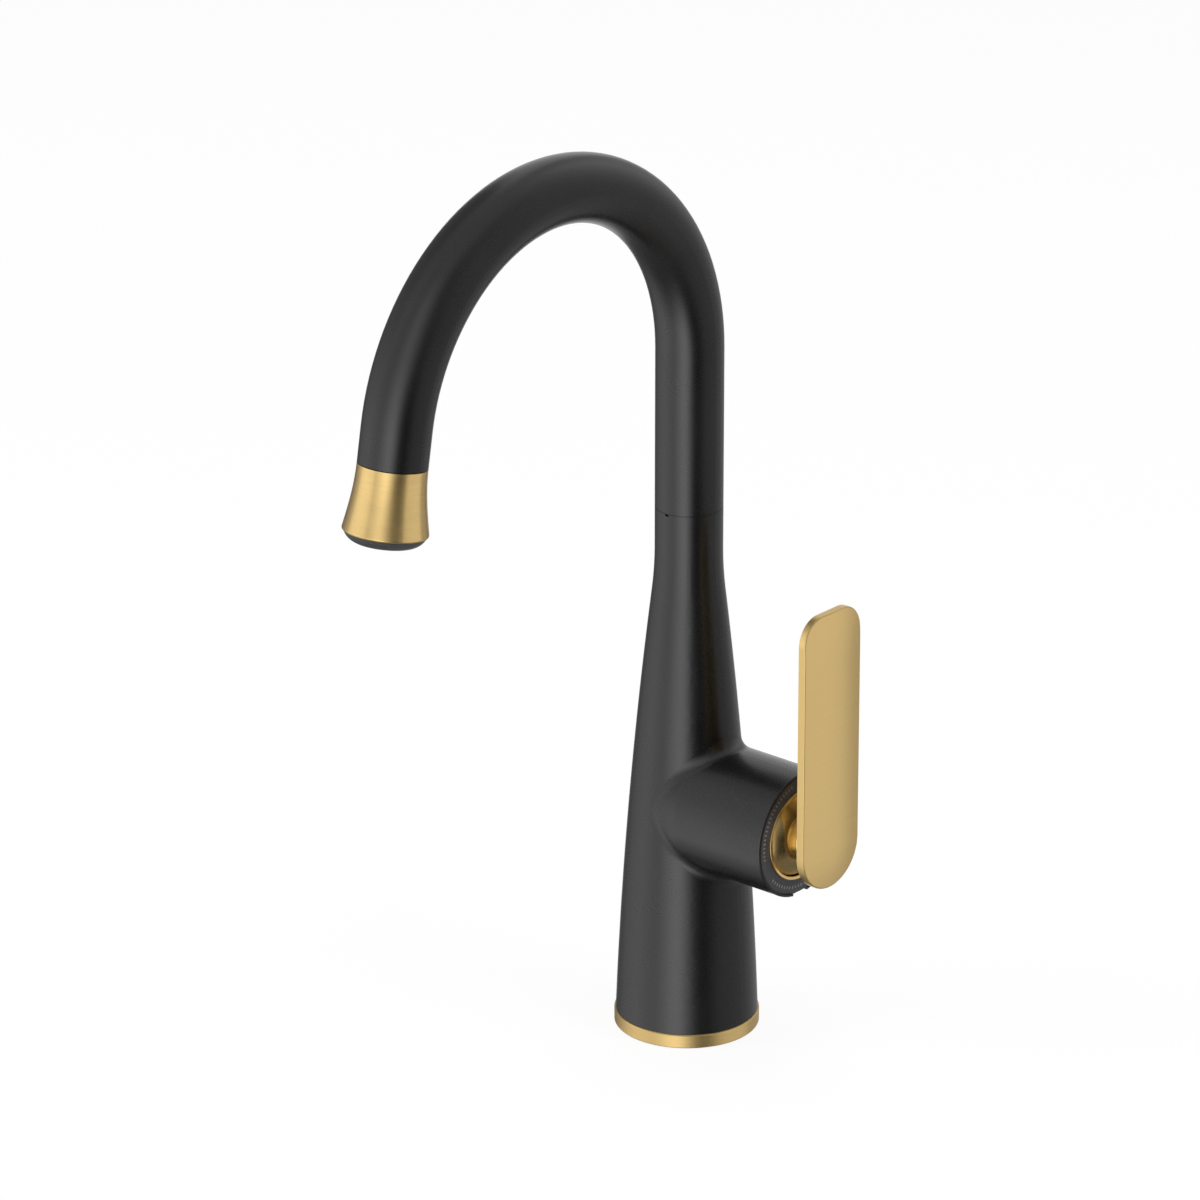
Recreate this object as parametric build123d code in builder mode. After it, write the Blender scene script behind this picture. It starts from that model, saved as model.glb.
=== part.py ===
"""Pull-down bar faucet: gooseneck spout on a flared body, side lever, docked spray head.

Millimetres, +Z up. The origin is the centre of the base on the deck, the spout
reaches out along -Y and the valve arm with its lever stands out along +X.
"""
import os
from math import cos, radians, sin, tan

from build123d import *

# Gooseneck spout
TUBE_R = 12.0
TUBE_WALL = 1.5
ARC_R = 75.7
ARC_Z = 255.3
ARC_DEG = 170.0
LEG = 12.2
SEAM_Z = 197.4

# Flared body
BASE_H = 5.2
BASE_R = 25.9
BASE_ROUND = 0.5
BODY_R = 25.4
NECK_RISE = 23.8
FLANK_BULGE = 1.8
NECK_BLEND_R = 130.0
SEAM_GAP = 0.4
SEAM_NOTCH_W = 1.6
SEAM_NOTCH_H = 0.7

# Deck side of the body
SHANK_R = 17.0
SHANK_TENON_R = 16.5
SHANK_BORE_R = 15.0
SHANK_CHAMFER = 1.0
SHANK_DROP = 50.0
SHANK_GRIP = 20.0
INLET_ROOF_Z = 42.0
SOCKET_R = 3.5
SOCKET_L = 8.0
INLET_R = 3.0
INLET_X = 7.0
INLET_Y = 9.0
OUTLET_X = 10.4
OUTLET_SOCKET_X = 11.4
GASKET_RI = 18.6
GASKET_RO = 23.4
GASKET_T = 1.6

# Valve arm
VALVE_Z = 86.8
ARM_R = 23.05
ARM_ROOT_SINK = 0.05
ARM_SWELL_X = 14.0
ARM_END_X = 52.0
ARM_BLEND_R = 5.0
ARM_RIM_ROUND = 0.7
COLLAR_WALL = 1.05
COLLAR_NOTCH_W = 8.0
COLLAR_NOTCH_L = 2.2

# Hose and its passages
HOSE_R = 5.5
HOSE_CLEAR = 0.3
CHANNEL_R = 7.0

# Swivel between body and spout
JOURNAL_R = 9.4
JOURNAL_DROP = 35.0
JOURNAL_BORE_R = 7.4
JOURNAL_PLUG_L = 15.0
BUSHING_WALL = 0.75
SHOULDER_DROP = 29.0
SNAP_T = 1.4
SNAP_PROUD = 1.1
SNAP_BITE = 0.9
SNAP_GAP_W = 5.0
RING_W = 2.2
RING_DEPTH = 1.2
RING_DROPS = (8.0, 20.0)
POCKET_R = 10.9
POCKET_H = 14.0

# Cartridge in the valve arm
PIVOT_X = 38.0
CAVITY_X = 13.5
CART_R = 17.5
CART_BASE_T = 4.0
CART_WALL = 2.0
CART_CAP_T = 2.2
DISC_T = 3.0
DISC_FILM = 0.02
FIXED_DISC_R = 15.3
MOVING_DISC_R = 9.0
MOVING_DISC_REST = 2.4
CARRIER_T = 2.5
PORT_R = 2.4
PORT_RING_R = 8.2
SEAL_W = 1.5
SEAL_T = 1.2
TURRET_R = 10.0
TURRET_FLANGE_R = 13.0
TURRET_FLANGE_T = 2.4
TURRET_TOP_X = 42.0
NUT_R = 18.5
NUT_T = 4.0
NUT_BORE_R = 12.5
NUT_SLOTS = 4
NUT_SLOT_W = 4.0
NUT_SLOT_DEPTH = 1.8
STEM_R = 3.5
STEM_END_X = 60.4
FINGER_R = 2.0
FINGER_ROOT_X = 33.0
FINGER_CLEAR = 0.4
PIVOT_PIN_R = 1.5
PIVOT_PIN_SINK = 0.6
TILT_DEG = 22.0

# Trim round the lever
TRIM_T = 2.0
TRIM_SINK = 0.6
TRIM_LEDGE = 0.6
BEZEL_LIP = 1.3
BEZEL_PROUD = 0.6
BEZEL_T = 2.1
BEZEL_ROUND = 0.3

# Lever
DOME_R = 20.0
DOME_WALL = 2.4
DOME_SKIRT_DEG = 74.0
DOME_TOP_DEG = 26.0
BOSS_R = 6.0
BOSS_X = 47.0
PADDLE_X = 62.3
PADDLE_T = 4.0
PADDLE_HALF_W = 15.1
PADDLE_DROP = 1.2
PADDLE_TOP = 87.2
PADDLE_CORNER_R = 9.5
PADDLE_CROWN_R = 110.0
PADDLE_EDGE_ROUND = 0.5
HUB_FLARE_R = 13.2
HUB_FLARE_DIR = (0.4, 1.0)
SCREW_R = 2.0
SCREW_L = 4.0
SCREW_X = 58.4

# Spray head
HEAD_L = 23.5
HEAD_RIM_R = 14.85
HEAD_FLARE = 0.19
HEAD_WALL = 1.6
HEAD_RIM_ROUND = 0.8
NOZZLE_H = 3.3
NOZZLE_FLAT_R = 10.6
NOZZLE_BULGE = 0.5
NOZZLE_DISH = 0.8
NOZZLE_DISH_R = 9.8
SPIGOT_L = 3.0
WATERWAY_R = 4.0
AERATOR_R = 5.6
AERATOR_T = 1.6
AERATOR_HOLES = 6
AERATOR_HOLE_R = 0.9
TIP_R = 0.75
TIP_H = 0.7
TIP_TAPER = 15.0
TIP_RING_R = 7.4
TIP_COUNT = 14
NECK_R = 8.0
NECK_L = 9.5
NECK_RING_AT = 4.0
NECK_RING_W = 1.8
NECK_RING_DEPTH = 1.0
HOSE_SEAT = 7.5
FERRULE_WALL = 1.1
FERRULE_L = 6.0
KEEPER_L = 3.0
DOCK_BORE_R = 8.1
DOCK_L = 6.8
DOCK_SINK = 0.3
MAGNET_L = 3.8
MAGNET_WALL = 1.8

# Clearances
FIT = 0.05
LOOSE = 0.1
RUNNING_GAP = 0.3

os.makedirs("parts", exist_ok=True)

# Places worked out from the sizes above
valve_plane = Plane((0, 0, VALVE_Z), x_dir=(1, 0, 0), z_dir=(0, -1, 0))
valve_axis = Axis((0, 0, VALVE_Z), (1, 0, 0))
lean = radians(180.0 - ARC_DEG)
leg_dir = Vector(0, -sin(lean), -cos(lean))
arc_end = Vector(0, -ARC_R * (1 + cos(lean)), ARC_Z + ARC_R * sin(lean))
leg_end = arc_end + leg_dir * LEG
leg_plane = Plane(leg_end, x_dir=(1, 0, 0), z_dir=leg_dir)
head_plane = Plane(leg_end, x_dir=(1, 0, 0), z_dir=Vector(1, 0, 0).cross(leg_dir))
head_axis = Axis(leg_end, leg_dir)
tube_bore_r = TUBE_R - TUBE_WALL
body_top_z = SEAM_Z - SEAM_GAP
flare_z = SEAM_Z - NECK_RISE


def across_valve(x):
    """Plane across the valve arm at distance x from the column's axis, with Y and Z as its axes."""
    return Plane((x, 0, VALVE_Z), x_dir=(0, 1, 0), z_dir=(1, 0, 0))


# Base ring and the gasket in its underside
with BuildPart() as base_ring:
    with BuildSketch():
        Circle(BASE_R)
        Circle(SHANK_TENON_R + LOOSE, mode=Mode.SUBTRACT)
    extrude(amount=BASE_H)
    with BuildSketch():
        Circle(GASKET_RO + LOOSE)
        Circle(GASKET_RI - LOOSE, mode=Mode.SUBTRACT)
    extrude(amount=GASKET_T, mode=Mode.SUBTRACT)
    fillet(edges().filter_by(GeomType.CIRCLE).group_by(SortBy.RADIUS)[-1], radius=BASE_ROUND)
base_ring.part.label = "base_ring"
export_step(base_ring.part, "parts/base_ring.step")

with BuildPart() as deck_gasket:
    with BuildSketch():
        Circle(GASKET_RO)
        Circle(GASKET_RI, mode=Mode.SUBTRACT)
    extrude(amount=GASKET_T)
deck_gasket.part.label = "deck_gasket"
export_step(deck_gasket.part, "parts/deck_gasket.step")

# Stations along the cartridge, from the cavity's floor outwards
disc_x = CAVITY_X + CART_BASE_T
moving_x = disc_x + DISC_T
carrier_x = moving_x + DISC_T
flange_x = carrier_x + CARRIER_T + FIT
cap_x = flange_x + TURRET_FLANGE_T + FIT
nut_x = cap_x + CART_CAP_T
nut_end_x = nut_x + NUT_T
cavity_r = CART_R + LOOSE
collar_r = ARM_R - COLLAR_WALL
trim_x = ARM_END_X - TRIM_SINK - TRIM_T
relief_r = collar_r - TRIM_LEDGE
bushing_r = JOURNAL_R + FIT + BUSHING_WALL
shoulder_z = SEAM_Z - SHOULDER_DROP
shank_top_z = BASE_H + SHANK_GRIP
port_places = [(PORT_RING_R * cos(radians(a)), PORT_RING_R * sin(radians(a))) for a in (-30, 90, 210)]
socket_places = [(INLET_X, INLET_Y), (OUTLET_SOCKET_X, 0), (INLET_X, -INLET_Y)]
inlet_xs = (INLET_X, OUTLET_X, INLET_X)
inlet_ys = (INLET_Y, 0, -INLET_Y)
inlet_rs = (INLET_R, PORT_R, INLET_R)
pocket_room = FINGER_R / cos(radians(TILT_DEG)) + CARRIER_T * tan(radians(TILT_DEG)) / 2 + RUNNING_GAP

# The body's flank, and the arm's root just inside it, so that the arm leaves the front without a step
with BuildLine(Plane.XZ) as flank:
    SagittaArc((BODY_R, BASE_H), (TUBE_R, flare_z), -FLANK_BULGE)
arm_root_r = flank.line.distance_to(Vertex(0, 0, VALVE_Z)) - ARM_ROOT_SINK

# Flared body with its valve arm, hollow for hose, waterways, swivel and cartridge
with BuildPart() as body_casting:
    with BuildSketch(Plane.XZ):
        with BuildLine():
            SagittaArc((BODY_R, BASE_H), (TUBE_R, flare_z), -FLANK_BULGE)
            Polyline((TUBE_R, flare_z), (TUBE_R, body_top_z), (0, body_top_z), (0, BASE_H), (BODY_R, BASE_H))
        make_face()
        fillet(vertices().sort_by_distance((TUBE_R, flare_z, 0))[0], radius=NECK_BLEND_R)
    revolve(axis=Axis.Z)
    with BuildSketch(valve_plane):
        with BuildLine():
            Spline((0, arm_root_r), (ARM_SWELL_X, ARM_R), tangents=((1, 0), (1, 0)))
            Polyline((ARM_SWELL_X, ARM_R), (ARM_END_X, ARM_R), (ARM_END_X, 0), (0, 0), (0, arm_root_r))
        make_face()
    revolve(axis=valve_axis)
    crease = edges().filter_by(lambda e: e.geom_type == GeomType.BSPLINE and abs(e.center().Y) > 1)
    fillet(crease, radius=ARM_BLEND_R)
    fillet(faces().sort_by(Axis.X)[-1].outer_wire().edges(), radius=ARM_RIM_ROUND)
    # Column bores: shank socket, inlet chamber, hose channel, clip pocket, bushing bore
    for z, top, r in (
        (BASE_H, shank_top_z, SHANK_TENON_R + FIT),
        (shank_top_z, INLET_ROOF_Z, SHANK_BORE_R),
        (INLET_ROOF_Z, shoulder_z - POCKET_H, CHANNEL_R),
        (shoulder_z - POCKET_H, shoulder_z, POCKET_R),
        (shoulder_z, body_top_z, bushing_r + FIT),
    ):
        with BuildSketch(Plane.XY.offset(z)):
            Circle(r)
        extrude(amount=top - z, mode=Mode.SUBTRACT)
    # Arm bores: cartridge, retaining nut, room for the dome's skirt, trim ring seat
    for x, end, r in (
        (CAVITY_X, nut_x, cavity_r),
        (nut_x, nut_end_x, NUT_R + FIT),
        (nut_end_x, trim_x, relief_r),
        (trim_x, ARM_END_X, collar_r),
    ):
        with BuildSketch(across_valve(x)):
            Circle(r)
        extrude(amount=end - x, mode=Mode.SUBTRACT)
    # Threaded sockets in the chamber's roof: two inlets and the outlet to the spray hose
    with BuildSketch(Plane.XY.offset(INLET_ROOF_Z)):
        with Locations(socket_places):
            Circle(SOCKET_R)
    extrude(amount=SOCKET_L, mode=Mode.SUBTRACT)
    # Waterways from the sockets up the column and across to the cartridge
    for (y, z), x, inlet_y, r in zip(port_places, inlet_xs, inlet_ys, inlet_rs):
        with BuildSketch(Plane.XY.offset(INLET_ROOF_Z)):
            with Locations((x, inlet_y)):
                Circle(r)
        extrude(amount=VALVE_Z + z - INLET_ROOF_Z, mode=Mode.SUBTRACT)
        with BuildSketch(across_valve(x)):
            with Locations((y, z)):
                Circle(PORT_R)
        extrude(amount=CAVITY_X - x, mode=Mode.SUBTRACT)
    # Drain notch under the collar and the index notch at the front of the swivel seam
    with BuildSketch(across_valve(ARM_END_X)):
        with Locations((0, -ARM_R)):
            Rectangle(COLLAR_NOTCH_W, 4 * COLLAR_WALL)
    extrude(amount=-COLLAR_NOTCH_L, mode=Mode.SUBTRACT)
    with BuildSketch(Plane.XY.offset(body_top_z)):
        with Locations((0, -TUBE_R)):
            Rectangle(SEAM_NOTCH_W, TUBE_WALL)
    extrude(amount=-SEAM_NOTCH_H, mode=Mode.SUBTRACT)
body_casting.part.label = "body_casting"
export_step(body_casting.part, "parts/body_casting.step")

# Hollow shank through the deck, its tenon screwed up into the body through the base ring
with BuildPart() as mounting_shank:
    with BuildSketch(Plane.XY.offset(-SHANK_DROP)):
        Circle(SHANK_R)
    extrude(amount=SHANK_DROP)
    with BuildSketch():
        Circle(SHANK_TENON_R)
    extrude(amount=shank_top_z - FIT)
    chamfer(faces().sort_by(Axis.Z)[0].edges(), length=SHANK_CHAMFER)
    with BuildSketch(Plane.XY.offset(-SHANK_DROP)):
        Circle(SHANK_BORE_R)
    extrude(amount=SHANK_DROP + shank_top_z, mode=Mode.SUBTRACT)
mounting_shank.part.label = "mounting_shank"
export_step(mounting_shank.part, "parts/mounting_shank.step")

# Swivel: bushing and washer on the body, journal with its rings and clip on the spout
with BuildPart() as neck_bushing:
    with BuildSketch(Plane.XY.offset(shoulder_z)):
        Circle(bushing_r)
        Circle(JOURNAL_R + FIT, mode=Mode.SUBTRACT)
    extrude(amount=body_top_z - shoulder_z)
neck_bushing.part.label = "neck_bushing"
export_step(neck_bushing.part, "parts/neck_bushing.step")

with BuildPart() as swivel_washer:
    with BuildSketch(Plane.XY.offset(body_top_z)):
        Circle(tube_bore_r + TUBE_WALL / 2)
        Circle(JOURNAL_R + LOOSE, mode=Mode.SUBTRACT)
    extrude(amount=SEAM_GAP - FIT)
swivel_washer.part.label = "swivel_washer"
export_step(swivel_washer.part, "parts/swivel_washer.step")

snap_z = shoulder_z - FIT - SNAP_T
with BuildPart() as swivel_journal:
    with BuildSketch(Plane.XY.offset(SEAM_Z - JOURNAL_DROP)):
        Circle(JOURNAL_R)
    extrude(amount=JOURNAL_DROP)
    with BuildSketch(Plane.XY.offset(SEAM_Z)):
        Circle(tube_bore_r - FIT)
    extrude(amount=JOURNAL_PLUG_L)
    with BuildSketch(Plane.XY.offset(SEAM_Z - JOURNAL_DROP)):
        Circle(JOURNAL_BORE_R)
    extrude(amount=JOURNAL_DROP + JOURNAL_PLUG_L, mode=Mode.SUBTRACT)
    for drop in RING_DROPS:
        with BuildSketch(Plane.XY.offset(SEAM_Z - drop)):
            Circle(JOURNAL_R + LOOSE)
            Circle(JOURNAL_R - RING_DEPTH, mode=Mode.SUBTRACT)
        extrude(amount=-RING_W, mode=Mode.SUBTRACT)
    with BuildSketch(Plane.XY.offset(snap_z - FIT)):
        Circle(JOURNAL_R + LOOSE)
        Circle(JOURNAL_R - SNAP_BITE, mode=Mode.SUBTRACT)
    extrude(amount=SNAP_T + 2 * FIT, mode=Mode.SUBTRACT)
swivel_journal.part.label = "swivel_journal"
export_step(swivel_journal.part, "parts/swivel_journal.step")

with BuildPart() as swivel_rings:
    for drop in RING_DROPS:
        with BuildSketch(Plane.XY.offset(SEAM_Z - drop - FIT)):
            Circle(JOURNAL_R + FIT / 2)
            Circle(JOURNAL_R - RING_DEPTH + FIT, mode=Mode.SUBTRACT)
        extrude(amount=2 * FIT - RING_W)
swivel_rings.part.label = "swivel_rings"
export_step(swivel_rings.part, "parts/swivel_rings.step")

with BuildPart() as snap_ring:
    with BuildSketch(Plane.XY.offset(snap_z)):
        Circle(JOURNAL_R + SNAP_PROUD)
        Circle(JOURNAL_R - SNAP_BITE + FIT, mode=Mode.SUBTRACT)
        with Locations((0, JOURNAL_R)):
            Rectangle(SNAP_GAP_W, 4 * SNAP_PROUD, mode=Mode.SUBTRACT)
    extrude(amount=SNAP_T)
snap_ring.part.label = "snap_ring"
export_step(snap_ring.part, "parts/snap_ring.step")

# Gooseneck: one bent tube from the seam over the top to the dock
with BuildPart() as spout_tube:
    with BuildLine(Plane.YZ) as spout_line:
        riser = Line((0, SEAM_Z), (0, ARC_Z))
        bend = JernArc(start=riser @ 1, tangent=riser % 1, radius=ARC_R, arc_size=ARC_DEG)
        Line(bend @ 1, (leg_end.Y, leg_end.Z))
    with BuildSketch(Plane.XY.offset(SEAM_Z)):
        Circle(TUBE_R)
        Circle(tube_bore_r, mode=Mode.SUBTRACT)
    sweep(path=spout_line.line)
spout_tube.part.label = "spout_tube"
export_step(spout_tube.part, "parts/spout_tube.step")

# Dock in the end of the tube: collar that centres the spray head, magnet that holds it
with BuildPart() as dock_collar:
    with BuildSketch(leg_plane.offset(-DOCK_SINK)):
        Circle(tube_bore_r - FIT)
        Circle(DOCK_BORE_R, mode=Mode.SUBTRACT)
    extrude(amount=-DOCK_L)
dock_collar.part.label = "dock_collar"
export_step(dock_collar.part, "parts/dock_collar.step")

with BuildPart() as dock_magnet:
    with BuildSketch(leg_plane.offset(-DOCK_SINK - DOCK_L - FIT)):
        Circle(tube_bore_r - FIT)
        Circle(tube_bore_r - FIT - MAGNET_WALL, mode=Mode.SUBTRACT)
    extrude(amount=-MAGNET_L)
dock_magnet.part.label = "dock_magnet"
export_step(dock_magnet.part, "parts/dock_magnet.step")

# Spray hose: from the shank's mouth up the column, over the bend and into the spray head
with BuildPart() as spray_hose:
    hose_tip = leg_end - leg_dir * (NECK_L - HOSE_SEAT + HOSE_CLEAR)
    with BuildLine(Plane.YZ) as hose_line:
        rise = Line((0, -SHANK_DROP), (0, ARC_Z))
        turn = JernArc(start=rise @ 1, tangent=rise % 1, radius=ARC_R, arc_size=ARC_DEG)
        Line(turn @ 1, (hose_tip.Y, hose_tip.Z))
    with BuildSketch(Plane.XY.offset(-SHANK_DROP)):
        Circle(HOSE_R)
    sweep(path=hose_line.line)
spray_hose.part.label = "spray_hose"
export_step(spray_hose.part, "parts/spray_hose.step")

# Spray head: drawn along the leg's axis, x outwards and y downstream from the tube's end
shell_top = RUNNING_GAP
core_top = shell_top + HEAD_WALL + FIT
spigot_r = HEAD_RIM_R - HEAD_WALL - HEAD_FLARE * SPIGOT_L - LOOSE
with BuildPart() as spray_shell:
    with BuildSketch(head_plane):
        with BuildLine():
            Spline((TUBE_R, shell_top), (HEAD_RIM_R, HEAD_L), tangents=((0, 1), (HEAD_FLARE, 1)))
            Line((HEAD_RIM_R, HEAD_L), (HEAD_RIM_R - HEAD_WALL, HEAD_L))
            Spline(
                (HEAD_RIM_R - HEAD_WALL, HEAD_L),
                (TUBE_R - HEAD_WALL, shell_top + HEAD_WALL),
                tangents=((-HEAD_FLARE, -1), (0, -1)),
            )
            Polyline(
                (TUBE_R - HEAD_WALL, shell_top + HEAD_WALL),
                (NECK_R + LOOSE, shell_top + HEAD_WALL),
                (NECK_R + LOOSE, shell_top),
                (TUBE_R, shell_top),
            )
        make_face()
        fillet(vertices().sort_by_distance((HEAD_RIM_R, HEAD_L, 0))[0], radius=HEAD_RIM_ROUND)
    revolve(axis=head_axis)
spray_shell.part.label = "spray_shell"
export_step(spray_shell.part, "parts/spray_shell.step")

with BuildPart() as spray_core:
    with BuildSketch(leg_plane.offset(core_top)):
        Circle(TUBE_R - HEAD_WALL - LOOSE)
    extrude(amount=HEAD_L - SPIGOT_L - core_top)
    with BuildSketch(leg_plane.offset(-NECK_L)):
        Circle(NECK_R)
    extrude(amount=NECK_L + core_top)
    with BuildSketch(leg_plane.offset(-NECK_L)):
        Circle(HOSE_R + HOSE_CLEAR)
    extrude(amount=HOSE_SEAT, mode=Mode.SUBTRACT)
    with BuildSketch(leg_plane.offset(HOSE_SEAT - NECK_L)):
        Circle(WATERWAY_R)
    extrude(amount=HEAD_L, mode=Mode.SUBTRACT)
    with BuildSketch(leg_plane.offset(-NECK_RING_AT)):
        Circle(NECK_R + LOOSE)
        Circle(NECK_R - NECK_RING_DEPTH, mode=Mode.SUBTRACT)
    extrude(amount=NECK_RING_W, mode=Mode.SUBTRACT)
spray_core.part.label = "spray_core"
export_step(spray_core.part, "parts/spray_core.step")

with BuildPart() as neck_ring:
    with BuildSketch(leg_plane.offset(FIT - NECK_RING_AT)):
        Circle(NECK_R + FIT / 2)
        Circle(NECK_R - NECK_RING_DEPTH + FIT, mode=Mode.SUBTRACT)
    extrude(amount=NECK_RING_W - 2 * FIT)
neck_ring.part.label = "neck_ring"
export_step(neck_ring.part, "parts/neck_ring.step")

with BuildPart() as hose_ferrule:
    with BuildSketch(leg_plane.offset(-NECK_L)):
        Circle(HOSE_R + HOSE_CLEAR + FERRULE_WALL)
        Circle(HOSE_R + HOSE_CLEAR, mode=Mode.SUBTRACT)
    extrude(amount=-FERRULE_L)
hose_ferrule.part.label = "hose_ferrule"
export_step(hose_ferrule.part, "parts/hose_ferrule.step")

with BuildPart() as magnet_keeper:
    with BuildSketch(leg_plane.offset(-NECK_L)):
        Circle(NECK_R - FIT)
        Circle(HOSE_R + HOSE_CLEAR + FERRULE_WALL + FIT, mode=Mode.SUBTRACT)
    extrude(amount=-KEEPER_L)
magnet_keeper.part.label = "magnet_keeper"
export_step(magnet_keeper.part, "parts/magnet_keeper.step")

nozzle_end = HEAD_L + NOZZLE_H
dish_floor = nozzle_end - NOZZLE_DISH
with BuildPart() as nozzle_face:
    with BuildSketch(head_plane):
        with BuildLine():
            Polyline(
                (HEAD_RIM_R - HEAD_RIM_ROUND, HEAD_L + FIT),
                (spigot_r, HEAD_L + FIT),
                (spigot_r, HEAD_L - SPIGOT_L),
                (0, HEAD_L - SPIGOT_L),
                (0, dish_floor),
                (NOZZLE_DISH_R - NOZZLE_DISH, dish_floor),
                (NOZZLE_DISH_R, nozzle_end),
                (NOZZLE_FLAT_R, nozzle_end),
            )
            SagittaArc((NOZZLE_FLAT_R, nozzle_end), (HEAD_RIM_R - HEAD_RIM_ROUND, HEAD_L + FIT), NOZZLE_BULGE)
        make_face()
    revolve(axis=head_axis)
    with BuildSketch(leg_plane.offset(HEAD_L - SPIGOT_L)):
        Circle(WATERWAY_R)
    extrude(amount=SPIGOT_L + NOZZLE_H, mode=Mode.SUBTRACT)
    with BuildSketch(leg_plane.offset(dish_floor)):
        Circle(AERATOR_R + FIT)
    extrude(amount=-AERATOR_T, mode=Mode.SUBTRACT)
nozzle_face.part.label = "nozzle_face"
export_step(nozzle_face.part, "parts/nozzle_face.step")

with BuildPart() as aerator:
    with BuildSketch(leg_plane.offset(dish_floor)):
        Circle(AERATOR_R)
        with PolarLocations(AERATOR_R / 2, AERATOR_HOLES):
            Circle(AERATOR_HOLE_R, mode=Mode.SUBTRACT)
        Circle(AERATOR_HOLE_R, mode=Mode.SUBTRACT)
    extrude(amount=-AERATOR_T)
aerator.part.label = "aerator"
export_step(aerator.part, "parts/aerator.step")

with BuildPart() as nozzle_tips:
    with BuildSketch(leg_plane.offset(dish_floor)):
        with PolarLocations(TIP_RING_R, TIP_COUNT):
            Circle(TIP_R)
    extrude(amount=TIP_H, taper=TIP_TAPER)
nozzle_tips.part.label = "nozzle_tips"
export_step(nozzle_tips.part, "parts/nozzle_tips.step")

# Cartridge: base with its seals, fixed disc, shell and retaining nut stay in the arm
with BuildPart() as cartridge_base:
    with BuildSketch(across_valve(CAVITY_X)):
        Circle(CART_R)
        with Locations(port_places):
            Circle(PORT_R, mode=Mode.SUBTRACT)
    extrude(amount=CART_BASE_T)
    with BuildSketch(across_valve(CAVITY_X)):
        with Locations(port_places):
            Circle(PORT_R + SEAL_W)
    extrude(amount=SEAL_T, mode=Mode.SUBTRACT)
cartridge_base.part.label = "cartridge_base"
export_step(cartridge_base.part, "parts/cartridge_base.step")

with BuildPart() as port_seals:
    with BuildSketch(across_valve(CAVITY_X)):
        with Locations(port_places):
            Circle(PORT_R + SEAL_W - FIT)
            Circle(PORT_R, mode=Mode.SUBTRACT)
    extrude(amount=SEAL_T)
port_seals.part.label = "port_seals"
export_step(port_seals.part, "parts/port_seals.step")

with BuildPart() as fixed_disc:
    with BuildSketch(across_valve(disc_x)):
        Circle(FIXED_DISC_R)
        with Locations(port_places):
            Circle(PORT_R, mode=Mode.SUBTRACT)
    extrude(amount=DISC_T)
fixed_disc.part.label = "fixed_disc"
export_step(fixed_disc.part, "parts/fixed_disc.step")

with BuildPart() as cartridge_shell:
    with BuildSketch(across_valve(disc_x)):
        Circle(CART_R)
        Circle(CART_R - CART_WALL, mode=Mode.SUBTRACT)
    extrude(amount=cap_x - disc_x)
    with BuildSketch(across_valve(cap_x)):
        Circle(CART_R)
        Circle(TURRET_R + FIT, mode=Mode.SUBTRACT)
    extrude(amount=CART_CAP_T)
cartridge_shell.part.label = "cartridge_shell"
export_step(cartridge_shell.part, "parts/cartridge_shell.step")

with BuildPart() as retaining_nut:
    with BuildSketch(across_valve(nut_x)):
        Circle(NUT_R)
        Circle(NUT_BORE_R, mode=Mode.SUBTRACT)
    extrude(amount=NUT_T)
    with BuildSketch(across_valve(nut_end_x)):
        with PolarLocations((NUT_R + NUT_BORE_R) / 2, NUT_SLOTS):
            Rectangle(NUT_R, NUT_SLOT_W)
    extrude(amount=-NUT_SLOT_DEPTH, mode=Mode.SUBTRACT)
retaining_nut.part.label = "retaining_nut"
export_step(retaining_nut.part, "parts/retaining_nut.step")

# Turning half of the cartridge: turret with the pivot pin, slotted for the tilting stem
finger_x = carrier_x + FINGER_CLEAR
tilt = tan(radians(TILT_DEG))
stem_floor_x = FINGER_ROOT_X - STEM_R * sin(radians(TILT_DEG)) - RUNNING_GAP
stem_room = STEM_R / cos(radians(TILT_DEG)) + (PIVOT_X - stem_floor_x) * tilt + RUNNING_GAP
finger_room = FINGER_R / cos(radians(TILT_DEG)) + (PIVOT_X - flange_x) * tilt + RUNNING_GAP
with BuildPart() as turret:
    with BuildSketch(across_valve(flange_x)):
        Circle(TURRET_FLANGE_R)
    extrude(amount=TURRET_FLANGE_T)
    with BuildSketch(across_valve(flange_x)):
        Circle(TURRET_R)
    extrude(amount=TURRET_TOP_X - flange_x)
    with BuildSketch(across_valve(stem_floor_x)):
        Rectangle(2 * (STEM_R + LOOSE), 2 * stem_room)
    extrude(amount=TURRET_TOP_X - stem_floor_x, mode=Mode.SUBTRACT)
    with BuildSketch(across_valve(flange_x)):
        Rectangle(2 * (FINGER_R + LOOSE), 2 * finger_room)
    extrude(amount=stem_floor_x - flange_x, mode=Mode.SUBTRACT)
    with BuildSketch(Plane.XZ):
        with Locations((PIVOT_X, VALVE_Z)):
            Circle(PIVOT_PIN_R)
    extrude(amount=TURRET_R, both=True, mode=Mode.SUBTRACT)
turret.part.label = "turret"
export_step(turret.part, "parts/turret.step")

with BuildPart() as pivot_pin:
    with BuildSketch(Plane.XZ):
        with Locations((PIVOT_X, VALVE_Z)):
            Circle(PIVOT_PIN_R)
    extrude(amount=TURRET_R - PIVOT_PIN_SINK, both=True)
pivot_pin.part.label = "pivot_pin"
export_step(pivot_pin.part, "parts/pivot_pin.step")

# Sliding half: ceramic disc and the carrier whose pocket the stem's finger drives
with BuildPart() as moving_disc:
    with BuildSketch(across_valve(moving_x + DISC_FILM)):
        with Locations((0, -MOVING_DISC_REST)):
            Circle(MOVING_DISC_R)
    extrude(amount=DISC_T - DISC_FILM)
moving_disc.part.label = "moving_disc"
export_step(moving_disc.part, "parts/moving_disc.step")

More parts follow.
